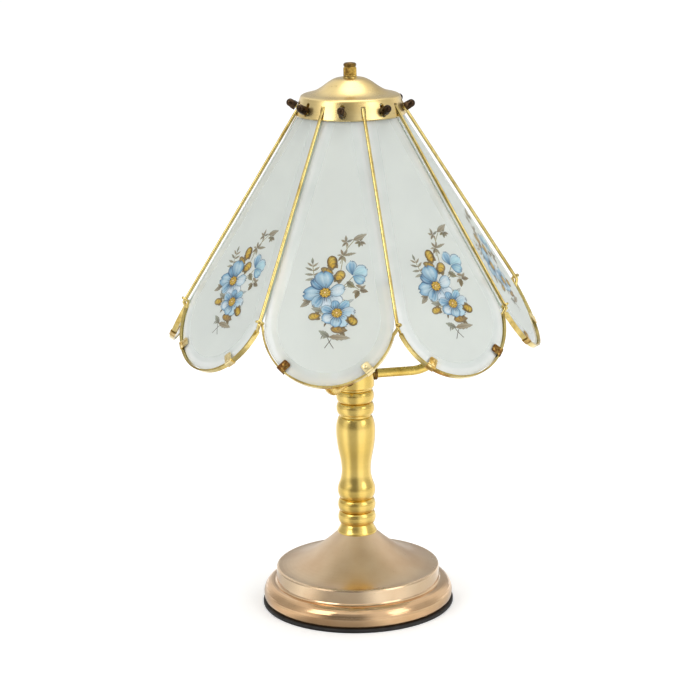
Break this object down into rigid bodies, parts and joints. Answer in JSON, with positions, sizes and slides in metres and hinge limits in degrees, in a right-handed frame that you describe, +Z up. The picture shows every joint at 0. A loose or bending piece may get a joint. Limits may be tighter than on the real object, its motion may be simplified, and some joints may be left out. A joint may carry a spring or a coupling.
{
  "type": "table lamp",
  "caption": "Table lamp with a petal shade of frosted, bevelled glass panels in brass wire frames, on bent arms over a turned column and a stepped round base.",
  "frame": {"origin": "centre of the base, on the surface that the lamp stands on", "axes": "+Z up along the column; +Y towards the back, through the lead's outlet in the base; a glass panel faces -Y, the front; +X to the right seen from the front"},
  "size_m": [0.254, 0.254, 0.3769],
  "materials": {
    "brushed_champagne": "brushed champagne plating",
    "satin_brass": "satin lacquered brass",
    "bright_brass": "polished brass",
    "aged_brass": "polished brass with brown tarnish",
    "dark_nut": "oxidised nearly black",
    "black_rubber": "matt black",
    "felt": "black felt",
    "frosted_glass": "frosted with a clear ground bevel",
    "bulb_glass": "frosted inside",
    "cast_weight": "rough cast",
    "zinc_steel": "zinc plated",
    "nickel": "nickel plated",
    "white_plastic": "moulded",
    "brown_plastic": "moulded phenolic",
    "card_liner": "pressed card",
    "wire_sleeve": "insulated lead",
    "fibre": "brown fibre washer",
    "filament": "bright"
  },
  "bodies": {
    "stand": {"base_shell": "brushed_champagne", "base_ring": "black_rubber", "base_pad": "felt", "base_weight": "cast_weight", "touch_module": "white_plastic", "cord_bushing": "black_rubber", "threaded_pipe": "zinc_steel", "pipe_nuts": "zinc_steel", "pipe_washers": "zinc_steel", "lead_wires": "wire_sleeve", "column_collar": "satin_brass", "lower_beads": "satin_brass", "baluster": "satin_brass", "upper_beads": "satin_brass", "arm_hub": "satin_brass", "arm_ferrules": "aged_brass", "arm_1": "satin_brass", "arm_2": "satin_brass", "arm_3": "satin_brass", "harp_boss": "satin_brass", "finial_stud": "bright_brass", "socket_cap": "bright_brass", "socket_shell": "bright_brass", "socket_liner": "card_liner", "socket_core": "brown_plastic", "screw_shell": "nickel", "center_contact": "bright_brass"},
    "bulb": {"bulb_glass": "bulb_glass", "bulb_base": "nickel", "bulb_filament": "filament"},
    "seat": {"seat_washer": "fibre"},
    "shade": {"shade_cap": "bright_brass", "frame_wire_1": "bright_brass", "frame_wire_2": "bright_brass", "frame_wire_3": "bright_brass", "frame_wire_4": "bright_brass", "frame_wire_5": "bright_brass", "frame_wire_6": "bright_brass", "frame_wire_7": "bright_brass", "frame_wire_8": "bright_brass", "glass_panel_1": "frosted_glass", "glass_panel_2": "frosted_glass", "glass_panel_3": "frosted_glass", "glass_panel_4": "frosted_glass", "glass_panel_5": "frosted_glass", "glass_panel_6": "frosted_glass", "glass_panel_7": "frosted_glass", "glass_panel_8": "frosted_glass", "wire_clips": "aged_brass", "glass_clamps": "bright_brass"},
    "nut_1": {"clamp_nut_1": "dark_nut"},
    "nut_2": {"clamp_nut_2": "dark_nut"},
    "nut_3": {"clamp_nut_3": "dark_nut"},
    "nut_4": {"clamp_nut_4": "dark_nut"},
    "nut_5": {"clamp_nut_5": "dark_nut"},
    "nut_6": {"clamp_nut_6": "dark_nut"},
    "nut_7": {"clamp_nut_7": "dark_nut"},
    "nut_8": {"clamp_nut_8": "dark_nut"},
    "lift_washer": {"finial_washer": "bright_brass"},
    "finial": {"finial": "aged_brass"}
  },
  "joints": [
    {"name": "bulb_lift", "type": "slide", "parent": "stand", "child": "bulb", "axis": [0, 0, 1], "range_m": [0, 0.025]},
    {"name": "shade_lift", "type": "slide", "parent": "stand", "child": "seat", "axis": [0, 0, 1], "range_m": [0, 0.19]},
    {"name": "shade_turn", "type": "hinge", "parent": "seat", "child": "shade", "pos_m": [0, 0, 0.343], "axis": [0, 0, 1], "continuous": true},
    {"name": "finial_rise", "type": "slide", "parent": "shade", "child": "lift_washer", "axis": [0, 0, 1], "range_m": [0, 0.00658]},
    {"name": "finial_turn", "type": "hinge", "parent": "lift_washer", "child": "finial", "pos_m": [0, 0, 0.372], "axis": [0, 0, 1], "range_deg": [0, 2520]},
    {"name": "nut_1_turn", "type": "hinge", "parent": "shade", "child": "nut_1", "pos_m": [0, -0.03924, 0.34933], "axis": [0, -0.8603, 0.5098], "continuous": true},
    {"name": "nut_2_turn", "type": "hinge", "parent": "shade", "child": "nut_2", "pos_m": [0.02775, -0.02775, 0.34933], "axis": [0.6083, -0.6083, 0.5098], "continuous": true},
    {"name": "nut_3_turn", "type": "hinge", "parent": "shade", "child": "nut_3", "pos_m": [0.03924, 0, 0.34933], "axis": [0.8603, 0, 0.5098], "continuous": true},
    {"name": "nut_4_turn", "type": "hinge", "parent": "shade", "child": "nut_4", "pos_m": [0.02775, 0.02775, 0.34933], "axis": [0.6083, 0.6083, 0.5098], "continuous": true},
    {"name": "nut_5_turn", "type": "hinge", "parent": "shade", "child": "nut_5", "pos_m": [0, 0.03924, 0.34933], "axis": [0, 0.8603, 0.5098], "continuous": true},
    {"name": "nut_6_turn", "type": "hinge", "parent": "shade", "child": "nut_6", "pos_m": [-0.02775, 0.02775, 0.34933], "axis": [-0.6083, 0.6083, 0.5098], "continuous": true},
    {"name": "nut_7_turn", "type": "hinge", "parent": "shade", "child": "nut_7", "pos_m": [-0.03924, 0, 0.34933], "axis": [-0.8603, 0, 0.5098], "continuous": true},
    {"name": "nut_8_turn", "type": "hinge", "parent": "shade", "child": "nut_8", "pos_m": [-0.02775, -0.02775, 0.34933], "axis": [-0.6083, -0.6083, 0.5098], "continuous": true}
  ],
  "couplings": [
    {"joint": "finial_turn", "follows": "finial_rise", "rad_per_m": 6679}
  ]
}
